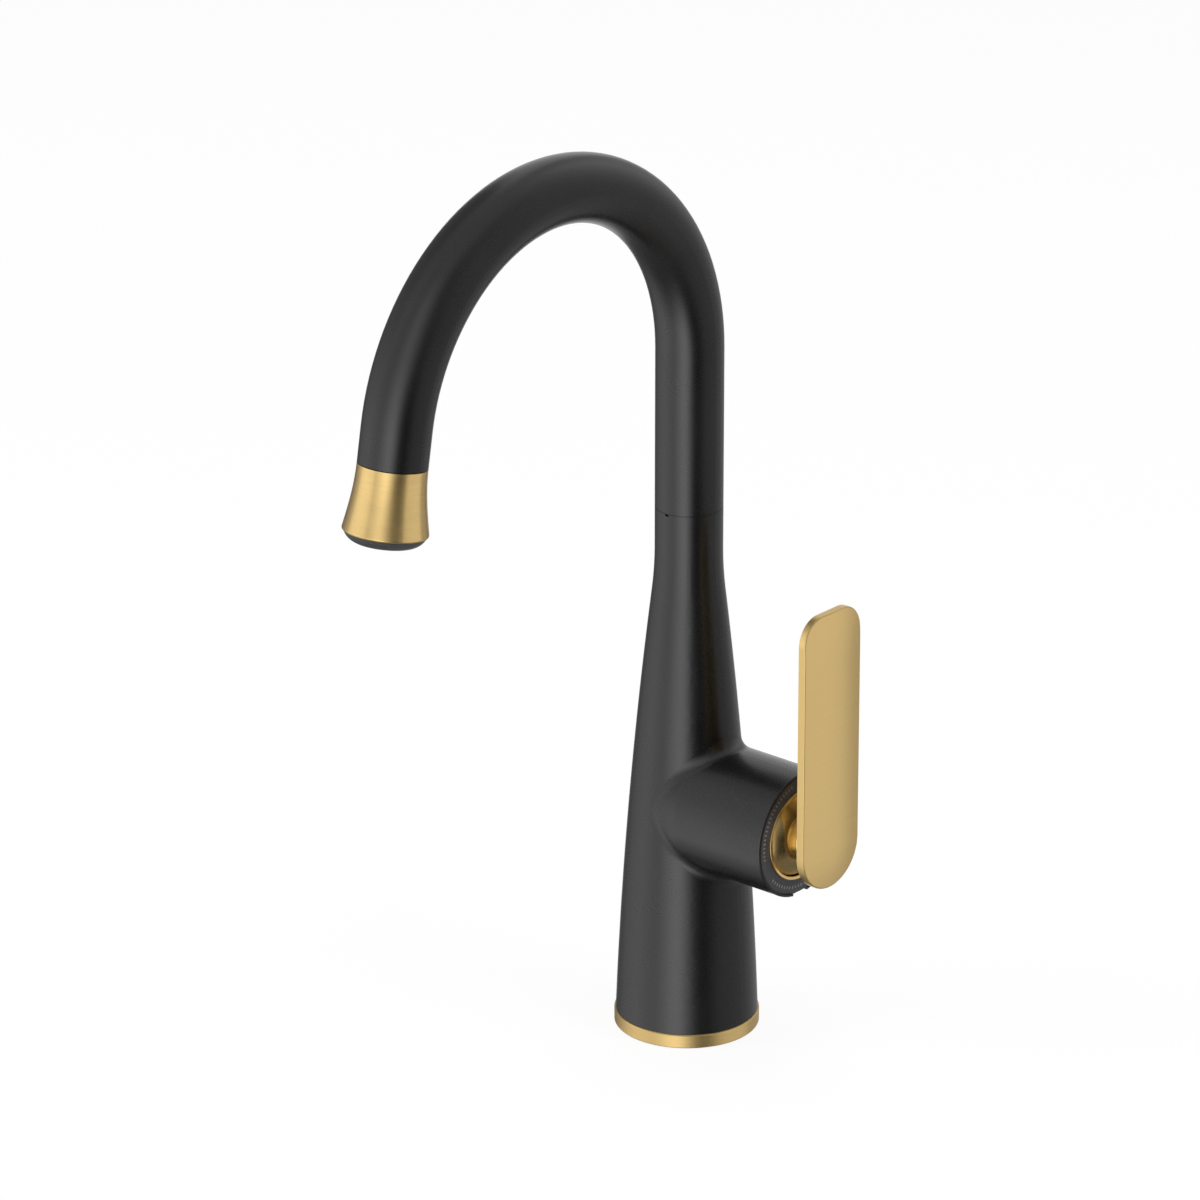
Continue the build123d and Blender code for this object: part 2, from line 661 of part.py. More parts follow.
with BuildPart() as disc_carrier:
    with BuildSketch(across_valve(carrier_x)):
        with Locations((0, -MOVING_DISC_REST)):
            Circle(MOVING_DISC_R)
        Rectangle(2 * (FINGER_R + LOOSE), 2 * pocket_room, mode=Mode.SUBTRACT)
    extrude(amount=CARRIER_T)
disc_carrier.part.label = "disc_carrier"
export_step(disc_carrier.part, "parts/disc_carrier.step")

# Trim ring and gold bezel, both clear of the lever's dome


def on_dome(radius, angle):
    """Point of a sphere about the lever's pivot, by its angle from the valve axis."""
    return (PIVOT_X + radius * cos(radians(angle)), radius * sin(radians(angle)))


def dome_leg(other):
    """Distance from the pivot to the dome's clearance sphere, square to the given distance."""
    return ((DOME_R + RUNNING_GAP) ** 2 - other**2) ** 0.5


trim_face_x = trim_x + TRIM_T
trim_bore_r = dome_leg(trim_x - PIVOT_X)
with BuildPart() as trim_ring:
    with BuildSketch(across_valve(trim_x)):
        Circle(collar_r - LOOSE)
        Circle(trim_bore_r, mode=Mode.SUBTRACT)
    extrude(amount=TRIM_T)
trim_ring.part.label = "trim_ring"
export_step(trim_ring.part, "parts/trim_ring.step")

bezel_r = trim_bore_r - FIT
bezel_lip_r = bezel_r - BEZEL_LIP
bezel_front_x = trim_face_x + BEZEL_PROUD
bezel_back_x = bezel_front_x - BEZEL_T
bezel_back = (bezel_back_x, dome_leg(bezel_back_x - PIVOT_X))
bezel_throat = (PIVOT_X + dome_leg(bezel_lip_r), bezel_lip_r)
with BuildPart() as bezel:
    with BuildSketch(valve_plane):
        with BuildLine():
            Polyline(
                bezel_back,
                (bezel_back_x, bezel_r),
                (bezel_front_x, bezel_r),
                (bezel_front_x, bezel_lip_r),
                bezel_throat,
            )
            RadiusArc(bezel_throat, bezel_back, -DOME_R - RUNNING_GAP)
        make_face()
        fillet(vertices().group_by(Axis.X)[-1], radius=BEZEL_ROUND)
    revolve(axis=valve_axis)
bezel.part.label = "bezel"
export_step(bezel.part, "parts/bezel.step")

# Lever: stem from the cartridge, domed hub that flares into the paddle, paddle, grub screw
with BuildPart() as lever_stem:
    with BuildSketch(across_valve(FINGER_ROOT_X)):
        Circle(STEM_R)
    extrude(amount=STEM_END_X - FINGER_ROOT_X)
    with BuildSketch(across_valve(finger_x)):
        Circle(FINGER_R)
    extrude(amount=FINGER_ROOT_X - finger_x)
    with BuildSketch(Plane.XZ):
        with Locations((PIVOT_X, VALVE_Z)):
            Circle(PIVOT_PIN_R + FIT)
    extrude(amount=2 * STEM_R, both=True, mode=Mode.SUBTRACT)
lever_stem.part.label = "lever_stem"
export_step(lever_stem.part, "parts/lever_stem.step")

dome_in_r = DOME_R - DOME_WALL
boss_top_x = PIVOT_X + (dome_in_r**2 - BOSS_R**2) ** 0.5
skirt_mid = (DOME_SKIRT_DEG + DOME_TOP_DEG) / 2
with BuildPart() as lever_hub:
    with BuildSketch(valve_plane):
        with BuildLine():
            ThreePointArc(
                on_dome(DOME_R, DOME_SKIRT_DEG),
                on_dome(DOME_R, skirt_mid),
                on_dome(DOME_R, DOME_TOP_DEG),
            )
            Spline(
                on_dome(DOME_R, DOME_TOP_DEG),
                (PADDLE_X, HUB_FLARE_R),
                tangents=((sin(radians(DOME_TOP_DEG)), -cos(radians(DOME_TOP_DEG))), HUB_FLARE_DIR),
            )
            Polyline((PADDLE_X, HUB_FLARE_R), (PADDLE_X, 0), (BOSS_X, 0), (BOSS_X, BOSS_R), (boss_top_x, BOSS_R))
            ThreePointArc((boss_top_x, BOSS_R), on_dome(dome_in_r, skirt_mid), on_dome(dome_in_r, DOME_SKIRT_DEG))
            Line(on_dome(dome_in_r, DOME_SKIRT_DEG), on_dome(DOME_R, DOME_SKIRT_DEG))
        make_face()
    revolve(axis=valve_axis)
    with BuildSketch(across_valve(BOSS_X)):
        Circle(STEM_R)
    extrude(amount=STEM_END_X + FIT - BOSS_X, mode=Mode.SUBTRACT)
    with BuildSketch(Plane.XZ):
        with Locations((SCREW_X, VALVE_Z)):
            Circle(SCREW_R)
    extrude(amount=-DOME_R, mode=Mode.SUBTRACT)
lever_hub.part.label = "lever_hub"
export_step(lever_hub.part, "parts/lever_hub.step")

with BuildPart() as lever_screw:
    with BuildSketch(Plane.XZ.offset(-STEM_R)):
        with Locations((SCREW_X, VALVE_Z)):
            Circle(SCREW_R)
            RegularPolygon(SCREW_R / 2, 6, mode=Mode.SUBTRACT)
    extrude(amount=-SCREW_L)
    with BuildSketch(Plane.XZ.offset(-STEM_R)):
        with Locations((SCREW_X, VALVE_Z)):
            Circle(SCREW_R)
    extrude(amount=-SCREW_L / 2)
lever_screw.part.label = "lever_screw"
export_step(lever_screw.part, "parts/lever_screw.step")

# The paddle's face is crowned across and rolls off at both ends alike
crown_x = PADDLE_X + PADDLE_T - PADDLE_CROWN_R
crown_foot = VALVE_Z - PADDLE_DROP
crown_head = VALVE_Z + PADDLE_TOP - PADDLE_HALF_W
paddle_sag = PADDLE_CROWN_R - (PADDLE_CROWN_R**2 - PADDLE_HALF_W**2) ** 0.5
with BuildPart() as paddle_crown:
    with BuildSketch(Plane.XY.offset(crown_foot)):
        with Locations((crown_x, 0)):
            Circle(PADDLE_CROWN_R)
    extrude(amount=crown_head - crown_foot)
    with Locations((crown_x, 0, crown_foot), (crown_x, 0, crown_head)):
        Sphere(PADDLE_CROWN_R)

with BuildPart() as lever_paddle:
    with BuildSketch(across_valve(PADDLE_X)):
        with BuildLine():
            Polyline(
                (PADDLE_HALF_W, -PADDLE_DROP),
                (PADDLE_HALF_W, PADDLE_TOP),
                (-PADDLE_HALF_W, PADDLE_TOP),
                (-PADDLE_HALF_W, -PADDLE_DROP),
            )
            ThreePointArc(
                (-PADDLE_HALF_W, -PADDLE_DROP),
                (0, -PADDLE_DROP - PADDLE_HALF_W),
                (PADDLE_HALF_W, -PADDLE_DROP),
            )
        make_face()
        fillet(vertices().group_by(Axis.Y)[-1], radius=PADDLE_CORNER_R)
    extrude(amount=PADDLE_T)
    add(paddle_crown.part, mode=Mode.INTERSECT)
    rim = edges().filter_by_position(Axis.X, PADDLE_X + PADDLE_T / 2, PADDLE_X + PADDLE_T - paddle_sag / 2)
    fillet(rim, radius=PADDLE_EDGE_ROUND)
lever_paddle.part.label = "lever_paddle"
export_step(lever_paddle.part, "parts/lever_paddle.step")
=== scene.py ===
from math import cos, pi, radians, sin

import bpy
from mathutils import Matrix, Vector


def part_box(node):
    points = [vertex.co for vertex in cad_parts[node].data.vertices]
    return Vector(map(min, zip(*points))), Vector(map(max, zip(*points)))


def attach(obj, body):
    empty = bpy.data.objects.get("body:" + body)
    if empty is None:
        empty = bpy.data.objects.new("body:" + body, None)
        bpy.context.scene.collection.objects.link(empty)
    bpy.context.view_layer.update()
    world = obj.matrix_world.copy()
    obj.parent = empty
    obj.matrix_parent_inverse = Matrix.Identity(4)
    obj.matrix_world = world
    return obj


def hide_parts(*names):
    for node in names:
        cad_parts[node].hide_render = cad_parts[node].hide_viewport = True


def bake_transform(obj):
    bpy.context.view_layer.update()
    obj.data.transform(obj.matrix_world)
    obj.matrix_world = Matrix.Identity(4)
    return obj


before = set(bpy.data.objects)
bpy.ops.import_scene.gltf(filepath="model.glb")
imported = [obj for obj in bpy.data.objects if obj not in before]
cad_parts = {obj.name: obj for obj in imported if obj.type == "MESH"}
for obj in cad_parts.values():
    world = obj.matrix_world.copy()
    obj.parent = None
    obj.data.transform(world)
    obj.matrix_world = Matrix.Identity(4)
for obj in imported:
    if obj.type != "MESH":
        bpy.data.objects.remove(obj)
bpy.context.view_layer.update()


# Studio. A white floor and backdrop, soft lamps, and a camera well back with a long lens. The metal
# mirrors the backdrop behind the object, and round it a white panel, a strip light, a black flag and
# a grey card that the camera doesn't see. Two more cards light only the gold pieces.
CAMERA_AZIMUTH = 40.833
camera = bpy.data.objects.new("set_camera", bpy.data.cameras.new("set_camera"))
camera.data.lens = 226.12
camera.data.sensor_width = 36.0
camera.data.clip_end = 60.0
camera.location = (1.5758, -1.8703, 1.1514)
camera_aim = Vector((-0.0003, -0.0471, 0.1757))
camera.rotation_euler = (camera_aim - camera.location).to_track_quat("-Z", "Y").to_euler()
bpy.context.scene.collection.objects.link(camera)
bpy.context.scene.camera = camera
bpy.context.scene.view_settings.view_transform = "Standard"

WHITE = (1.0, 1.0, 1.0, 1.0)
# Degrees round the set from the camera, more to the right, and how bright the set is there.
LOW_LEVELS = (
    (-180, 1.0), (-173, 1.0),  # white backdrop
    (-164, 0.15), (-146, 0.16),  # dim corner
    (-90, 0.95), (-52, 0.8),  # white panel
    (-20, 1.75), (-11, 1.68),  # strip light
    (11, 0.14), (18, 0.03), (30, 0.02),  # black flag
    (54, 0.26), (100, 0.3), (130, 0.38), (164, 0.4),  # grey card
    (173, 1.0), (180, 1.0),  # white backdrop
)
HIGH_LEVELS = (
    (-180, 0.75), (-173, 0.75),  # backdrop, dimmer at its top
    (-164, 0.17), (-130, 0.25),  # dim corner
    (-84, 0.62), (-52, 0.54),  # white panel
    (-17, 0.95),  # strip light
    (25, 0.18),  # black flag
    (97, 0.37), (142, 0.8), (164, 0.4),  # grey card, lit from above
    (173, 0.75), (180, 0.75),  # backdrop, dimmer at its top
)
PANEL_TOP = 1.75
# Heights over which low panels turn into high ones, and the walls into ceiling and carpet.
WALL_RISE = (-0.15, 0.45)
CEILING_RISE = (0.72, 0.92)
CARPET_FALL = (-0.6, -0.88)
CEILING_GREY = (0.25, 0.25, 0.25)
CARPET_GREY = (0.1, 0.1, 0.1)
ROOM_LEVEL = 0.42


def add_node(tree, kind, sockets, **settings):
    """Adds a node; each named or numbered socket takes a value, or another node's output."""
    node = tree.nodes.new("ShaderNode" + kind)
    for key, value in settings.items():
        setattr(node, key, value)
    for key, value in sockets.items():
        if isinstance(value, bpy.types.NodeSocket):
            tree.links.new(value, node.inputs[key])
        else:
            node.inputs[key].default_value = value
    return node


def calc(tree, operation, *values):
    """One step of arithmetic on numbers and other nodes' outputs."""
    return add_node(tree, "Math", dict(enumerate(values)), operation=operation).outputs[0]


def spread_value(tree, value, span, to=(0.0, 1.0)):
    """Spreads a value from one span to another, held at its ends."""
    ends = {"From Min": span[0], "From Max": span[1], "To Min": to[0], "To Max": to[1]}
    return add_node(tree, "MapRange", {"Value": value, **ends}).outputs[0]


def mixed_colour(tree, share, first, second):
    """Goes from the first colour to the second; either may be another node's output."""
    ends = {"Factor": share}
    for key, colour in (("A", first), ("B", second)):
        ends[key] = colour if isinstance(colour, bpy.types.NodeSocket) else (*colour, 1.0)
    return add_node(tree, "Mix", ends, data_type="RGBA").outputs["Result"]


def set_ramp(node, stops):
    """Gives a colour ramp these (place, colour) stops."""
    ramp = node.color_ramp
    while len(ramp.elements) > 1:
        ramp.elements.remove(ramp.elements[-1])
    for index, (place, colour) in enumerate(stops):
        stop = ramp.elements[0] if index == 0 else ramp.elements.new(place)
        stop.position = place
        stop.color = (*colour, 1.0)


studio = bpy.data.worlds.new("studio")
bpy.context.scene.world = studio
studio.use_nodes = True
sky = studio.node_tree
sky.nodes.clear()
way = add_node(sky, "TexCoord", {})
from_camera = add_node(
    sky,
    "VectorRotate",
    {"Vector": way.outputs["Generated"], "Angle": radians(90 - CAMERA_AZIMUTH)},
    rotation_type="Z_AXIS",
)
parts = add_node(sky, "SeparateXYZ", {0: from_camera.outputs[0]})
bearing = calc(sky, "ARCTAN2", parts.outputs["Y"], parts.outputs["X"])
around = spread_value(sky, bearing, (-pi, pi))
panels = []
for levels in (LOW_LEVELS, HIGH_LEVELS):
    panel = add_node(sky, "ValToRGB", {"Fac": around})
    set_ramp(panel, [((angle + 180) / 360, (level / PANEL_TOP,) * 3) for angle, level in levels])
    panels.append(panel.outputs[0])
elevation = parts.outputs["Z"]
walls = mixed_colour(sky, spread_value(sky, elevation, WALL_RISE), panels[0], panels[1])
tent = mixed_colour(sky, spread_value(sky, elevation, CEILING_RISE), walls, CEILING_GREY)
mirrored_set = mixed_colour(sky, spread_value(sky, elevation, CARPET_FALL), tent, CARPET_GREY)
# The camera sees plain white, mirrors see the set, and all the rest is even room light.
room_light = add_node(sky, "Background", {"Color": WHITE, "Strength": ROOM_LEVEL})
mirror_light = add_node(sky, "Background", {"Color": mirrored_set, "Strength": PANEL_TOP})
backdrop = add_node(sky, "Background", {"Color": WHITE, "Strength": 1.0})
ray = add_node(sky, "LightPath", {})
mirrored = calc(sky, "MAXIMUM", ray.outputs["Is Glossy Ray"], ray.outputs["Is Transmission Ray"])
lit = add_node(sky, "MixShader", {0: mirrored, 1: room_light.outputs[0], 2: mirror_light.outputs[0]})
seen = add_node(
    sky, "MixShader", {0: ray.outputs["Is Camera Ray"], 1: lit.outputs[0], 2: backdrop.outputs[0]}
)
add_node(sky, "OutputWorld", {"Surface": seen.outputs[0]})


def hang_lamp(name, place, width, height, power):
    """Hangs a soft rectangular lamp at a place and points it at the object."""
    lamp = bpy.data.objects.new(name, bpy.data.lights.new(name, "AREA"))
    lamp.data.shape = "RECTANGLE"
    lamp.data.size = width
    lamp.data.size_y = height
    lamp.data.energy = power
    lamp.location = place
    lamp.rotation_euler = (camera_aim - lamp.location).to_track_quat("-Z", "Y").to_euler()
    bpy.context.scene.collection.objects.link(lamp)
    return lamp


for name, place, size, power in (
    ("left_softbox", (-1.3, -1.6, 1.5), 1.2, 26.0),
    ("front_softbox", (0.9, -2.1, 1.7), 0.9, 5.0),
    ("right_softbox", (2.0, 0.3, 0.9), 1.2, 26.0),
    ("top_softbox", (0.0, 0.3, 2.2), 1.4, 16.0),
):
    softbox = hang_lamp(name, place, size, size, power)
    softbox.visible_glossy = False

CARD_HEIGHT = 1.72
gold_pieces = bpy.data.collections.new("gold_pieces")
for name in ("base_ring", "spray_shell", "bezel", "lever_hub", "lever_paddle"):
    gold_pieces.objects.link(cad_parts[name])
for name, place, width, power in (
    ("left_card", (-1.09, -1.3, 0.45), 1.72, 4.0),
    ("right_card", (1.502, 0.705, -0.1), 1.98, 5.6),
):
    card = hang_lamp(name, place, width, CARD_HEIGHT, power)
    card.light_linking.receiver_collection = gold_pieces


def new_finish(name):
    """An empty material and its nodes."""
    finish = bpy.data.materials.new(name)
    finish.use_nodes = True
    finish.node_tree.nodes.clear()
    return finish, finish.node_tree


FLOOR_SIZE = 30.0
FLOOR_DROP = 0.0004
FLOOR_PAPER = (0.92, 0.92, 0.92, 1.0)
FLOOR_GLOW = 0.9
bpy.ops.object.select_all(action="DESELECT")
bpy.ops.mesh.primitive_plane_add(size=FLOOR_SIZE, location=(0.0, 0.0, -FLOOR_DROP))
floor = bpy.context.object
floor.name = "floor"
floor.visible_glossy = False
floor.visible_shadow = False
floor_finish, sweep = new_finish("white_floor")
paper = add_node(sweep, "BsdfDiffuse", {"Color": FLOOR_PAPER})
glow = add_node(sweep, "Emission", {"Color": WHITE, "Strength": 1.0})
gone = add_node(sweep, "BsdfTransparent", {})
sight = add_node(sweep, "LightPath", {})
share = calc(sweep, "MULTIPLY", sight.outputs["Is Camera Ray"], FLOOR_GLOW)
white = add_node(sweep, "MixShader", {0: share, 1: paper.outputs[0], 2: glow.outputs[0]})
# From below the floor is clear, so that the underside can be looked at.
face = add_node(sweep, "NewGeometry", {})
below = add_node(
    sweep, "MixShader", {0: face.outputs["Backfacing"], 1: white.outputs[0], 2: gone.outputs[0]}
)
add_node(sweep, "OutputMaterial", {"Surface": below.outputs[0]})
floor.data.materials.append(floor_finish)


# Threaded shank. A hollow brass stem that is screwed up into the body through the base ring and
# goes down through the deck hole, where a nut pulls the faucet tight. Turned from bar, with a
# rolled thread of 1.5 mm pitch on its free length.
SHANK_R = 0.017
SHANK_ROOT_R = 0.0161
SHANK_TENON_R = 0.0165
SHANK_BORE_R = 0.015
SHANK_BOTTOM = -0.05
SHANK_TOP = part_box("mounting_shank")[1].z
SHANK_COLLAR = 0.004
SHANK_RUNOUT = 0.0006
SHANK_EDGE_IN = 0.0004
SHANK_EDGE_UP = 0.0005
THREAD_PITCH = 0.0015
THREAD_TURNS = 30
THREAD_STEPS = 40
THREAD_FOOT_R = SHANK_ROOT_R - 0.0001
THREAD_BOTTOM = SHANK_BOTTOM + 0.0004
CREST_START = 0.43 * THREAD_PITCH
CREST_END = 0.57 * THREAD_PITCH
TURNED_STEPS = 96
TURNED_SMOOTH = 30.0


def start_piece(name):
    """Leaves one vertex at the origin, selected in edit mode, as the start of a drawn outline."""
    bpy.ops.object.select_all(action="DESELECT")
    bpy.ops.mesh.primitive_plane_add(size=0.01)
    piece = bpy.context.object
    piece.name = name
    piece.data.name = name
    bpy.ops.object.mode_set(mode="EDIT")
    bpy.ops.mesh.select_all(action="SELECT")
    bpy.ops.mesh.merge(type="CENTER")
    return piece


def draw_outline(points):
    """Moves the one selected vertex to the first point and extrudes it on through the others."""
    bpy.ops.transform.translate(value=points[0])
    for here, there in zip(points, points[1:]):
        step = Vector(there) - Vector(here)
        bpy.ops.mesh.extrude_region_move(TRANSFORM_OT_translate={"value": step})


def turn_outline(steps, centre=(0.0, 0.0, 0.0)):
    """Turns what is drawn once round an upright axis through centre."""
    bpy.ops.mesh.select_all(action="SELECT")
    bpy.ops.mesh.spin(steps=steps, angle=2 * pi, center=centre, axis=(0.0, 0.0, 1.0))


def close_piece(smooth_angle=35.0):
    """Merges doubles, turns the faces outwards and shades the piece smooth up to its edges."""
    bpy.ops.mesh.select_all(action="SELECT")
    bpy.ops.mesh.remove_doubles(threshold=1e-6)
    bpy.ops.mesh.normals_make_consistent(inside=False)
    bpy.ops.object.mode_set(mode="OBJECT")
    bpy.ops.object.shade_smooth_by_angle(angle=radians(smooth_angle))


def join_pieces(pieces):
    """Joins pieces into the first of them."""
    bpy.ops.object.select_all(action="DESELECT")
    for piece in pieces:
        piece.select_set(True)
    bpy.context.view_layer.objects.active = pieces[0]
    bpy.ops.object.join()


threaded_shank = start_piece("threaded_shank")
draw_outline(
    [
        (SHANK_BORE_R, 0.0, SHANK_BOTTOM),
        (SHANK_ROOT_R - SHANK_EDGE_IN, 0.0, SHANK_BOTTOM),
        (SHANK_ROOT_R, 0.0, SHANK_BOTTOM + SHANK_EDGE_UP),
        (SHANK_ROOT_R, 0.0, -SHANK_COLLAR - SHANK_RUNOUT),
        (SHANK_R, 0.0, -SHANK_COLLAR),
        (SHANK_R, 0.0, 0.0),
        (SHANK_TENON_R, 0.0, 0.0),
        (SHANK_TENON_R, 0.0, SHANK_TOP),
        (SHANK_BORE_R, 0.0, SHANK_TOP),
        (SHANK_BORE_R, 0.0, SHANK_BOTTOM),
    ]
)
turn_outline(TURNED_STEPS)
close_piece(TURNED_SMOOTH)

thread = start_piece("shank_thread")
draw_outline(
    [
        (THREAD_FOOT_R, 0.0, THREAD_BOTTOM),
        (SHANK_R, 0.0, THREAD_BOTTOM + CREST_START),
        (SHANK_R, 0.0, THREAD_BOTTOM + CREST_END),
        (THREAD_FOOT_R, 0.0, THREAD_BOTTOM + THREAD_PITCH),
    ]
)
bpy.ops.mesh.select_all(action="SELECT")
bpy.ops.mesh.edge_face_add()
bpy.ops.mesh.delete(type="ONLY_FACE")
bpy.ops.object.mode_set(mode="OBJECT")
winding = thread.modifiers.new("winding", "SCREW")
winding.axis = "Z"
winding.screw_offset = THREAD_PITCH
winding.iterations = THREAD_TURNS
winding.steps = THREAD_STEPS
winding.render_steps = THREAD_STEPS
bpy.ops.object.modifier_apply(modifier="winding")
bpy.ops.object.mode_set(mode="EDIT")
bpy.ops.mesh.select_all(action="SELECT")
bpy.ops.mesh.fill_holes(sides=4)
close_piece(TURNED_SMOOTH)
join_pieces([threaded_shank, thread])


def new_effect(name, per_metre, values):
    """An empty node group that takes a vector and a count per metre, and gives these values."""
    effect = bpy.data.node_groups.new(name, "ShaderNodeTree")
    effect.interface.new_socket("Vector", in_out="INPUT", socket_type="NodeSocketVector")
    effect.interface.new_socket(per_metre, in_out="INPUT", socket_type="NodeSocketFloat")
    for value in values:
        effect.interface.new_socket(value, in_out="OUTPUT", socket_type="NodeSocketFloat")
    return effect, effect.nodes.new("NodeGroupInput"), effect.nodes.new("NodeGroupOutput")


# Lines that a lathe or a brush leaves round an axis: fine and coarse, fixed by the height along
# the axis and the distance from it, and drifting slowly round it.
turned_lines, turned_in, turned_out = new_effect("turned_lines", "Lines per Metre", ("Fine", "Coarse"))
inside = add_node(turned_lines, "SeparateXYZ", {0: turned_in.outputs["Vector"]})
flat = add_node(turned_lines, "CombineXYZ", {"X": inside.outputs["X"], "Y": inside.outputs["Y"]})
radius = add_node(turned_lines, "VectorMath", {0: flat.outputs[0]}, operation="LENGTH")
round_axis = add_node(turned_lines, "VectorMath", {0: flat.outputs[0]}, operation="NORMALIZE")
for layer, spacing, drift in (("Fine", 1.0, 2.5), ("Coarse", 0.3, 1.2)):
    pace = calc(turned_lines, "MULTIPLY", turned_in.outputs["Lines per Metre"], spacing)
    rise = calc(turned_lines, "MULTIPLY", inside.outputs["Z"], pace)
    out = calc(turned_lines, "MULTIPLY", radius.outputs["Value"], pace)
    slow = add_node(turned_lines, "VectorMath", {0: round_axis.outputs[0], "Scale": drift}, operation="SCALE")
    bent = add_node(turned_lines, "SeparateXYZ", {0: slow.outputs[0]})
    lay = add_node(turned_lines, "CombineXYZ", {"X": bent.outputs["X"], "Y": bent.outputs["Y"], "Z": rise})
    cut = add_node(
        turned_lines,
        "TexNoise",
        {"Vector": lay.outputs[0], "W": out, "Scale": 1.0, "Detail": 3.0, "Roughness": 0.6},
        noise_dimensions="4D",
    )
    turned_lines.links.new(cut.outputs[0], turned_out.inputs[layer])

# The middle part of a noise that a colour or a roughness is spread over.
TONE_SPAN = (0.35, 0.65)
GLOSS_SPAN = (0.3, 0.7)
QUARTER_TURN = 0.25


def laid_vector(tree, centre, turn):
    """Object coordinates from centre, turned so that the piece's axis lies on Z."""
    coords = add_node(tree, "TexCoord", {})
    laid = add_node(
        tree,
        "Mapping",
        {"Vector": coords.outputs["Object"], "Location": centre, "Rotation": turn},
        vector_type="TEXTURE",
    )
    return laid.outputs[0]


def turned_finish(
    name, dark, light, roughness, lines, depth, metallic=1.0, spread=0.0, centre=(0, 0, 0), turn=(0, 0, 0)
):
    """Metal turned or brushed round an axis through centre; spread draws its gloss out across the lines."""
    finish, tree = new_finish(name)
    lined = tree.nodes.new("ShaderNodeGroup")
    lined.node_tree = turned_lines
    tree.links.new(laid_vector(tree, centre, turn), lined.inputs["Vector"])
    lined.inputs["Lines per Metre"].default_value = lines
    both = add_node(tree, "Mix", {"Factor": 0.5, "A": lined.outputs["Fine"], "B": lined.outputs["Coarse"]})
    groove = add_node(tree, "Bump", {"Height": lined.outputs["Fine"], "Strength": 0.5, "Distance": depth})
    metal = add_node(
        tree,
        "BsdfPrincipled",
        {
            "Base Color": mixed_colour(tree, spread_value(tree, both.outputs[0], TONE_SPAN), dark, light),
            "Metallic": metallic,
            "Roughness": spread_value(tree, both.outputs[0], GLOSS_SPAN, roughness),
            "Anisotropic": spread,
            "Anisotropic Rotation": QUARTER_TURN,
            "Normal": groove.outputs[0],
        },
    )
    add_node(tree, "OutputMaterial", {"Surface": metal.outputs[0]})
    return finish


def dress(finish, *pieces):
    """Puts a finish on CAD nodes, given by name, and on new pieces."""
    for piece in pieces:
        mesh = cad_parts[piece].data if isinstance(piece, str) else piece.data
        mesh.materials.clear()
        mesh.materials.append(finish)


raw_brass = turned_finish(
    "raw_brass",
    dark=(0.52, 0.36, 0.15),
    light=(0.78, 0.57, 0.27),
    roughness=(0.24, 0.4),
    lines=2600.0,
    depth=0.000012,
)
dress(raw_brass, threaded_shank)
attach(threaded_shank, "faucet_body")
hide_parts("mounting_shank")


# Deck gasket. A flat ring of black nitrile rubber pressed into the groove under the base, which
# keeps water out of the deck hole.
CLOUDS_PER_METRE = 38.0

# Fine grain of moulded, coated and sintered surfaces: a pebble of the given size and a slow cloud.
fine_grain, grain_in, grain_out = new_effect("fine_grain", "Grains per Metre", ("Pebble", "Cloud"))
grain_spot = grain_in.outputs["Vector"]
grain_scale = grain_in.outputs["Grains per Metre"]
pebble = add_node(
    fine_grain, "TexNoise", {"Vector": grain_spot, "Scale": grain_scale, "Detail": 2.0, "Roughness": 0.5}
)
cloud = add_node(
    fine_grain,
    "TexNoise",
    {"Vector": grain_spot, "Scale": CLOUDS_PER_METRE, "Detail": 3.0, "Distortion": 0.4},
)
fine_grain.links.new(pebble.outputs[0], grain_out.inputs["Pebble"])
fine_grain.links.new(cloud.outputs[0], grain_out.inputs["Cloud"])


def grained_finish(name, dark, light, roughness, grains, depth, ior=1.5):
    """Coated, moulded or pressed surface with its grain; roughness is its smoothest and dullest."""
    finish, tree = new_finish(name)
    coords = add_node(tree, "TexCoord", {})
    grain = tree.nodes.new("ShaderNodeGroup")
    grain.node_tree = fine_grain
    tree.links.new(coords.outputs["Object"], grain.inputs["Vector"])
    grain.inputs["Grains per Metre"].default_value = grains
    mixed = add_node(tree, "Mix", {"Factor": 0.4, "A": grain.outputs["Cloud"], "B": grain.outputs["Pebble"]})
    skin = add_node(tree, "Bump", {"Height": grain.outputs["Pebble"], "Strength": 0.5, "Distance": depth})
    body = add_node(
        tree,
        "BsdfPrincipled",
        {
            "Base Color": mixed_colour(tree, spread_value(tree, mixed.outputs[0], TONE_SPAN), dark, light),
            "Roughness": spread_value(tree, mixed.outputs[0], TONE_SPAN, roughness),
            "IOR": ior,
            "Normal": skin.outputs[0],
        },
    )
    add_node(tree, "OutputMaterial", {"Surface": body.outputs[0]})
    return finish


rubber = grained_finish(
    "rubber",
    dark=(0.012, 0.012, 0.012),
    light=(0.03, 0.03, 0.03),
    roughness=(0.55, 0.72),
    grains=2400.0,
    depth=0.00002,
)
dress(rubber, "deck_gasket")


# Base ring. A low brass ring between deck and body, plated gold and brushed round, so that fine
# lines run about it and its edges catch the light.
GOLD_DARK = (0.69, 0.492, 0.203)
GOLD_LIGHT = (0.77, 0.55, 0.228)
GOLD_METALLIC = 0.94
GOLD_SPREAD = 0.5
base_gold = turned_finish(
    "brushed_gold_ring",
    dark=GOLD_DARK,
    light=GOLD_LIGHT,
    roughness=(0.36, 0.44),
    lines=2200.0,
    depth=0.000005,
    metallic=GOLD_METALLIC,
    spread=GOLD_SPREAD,
)
dress(base_gold, "base_ring")


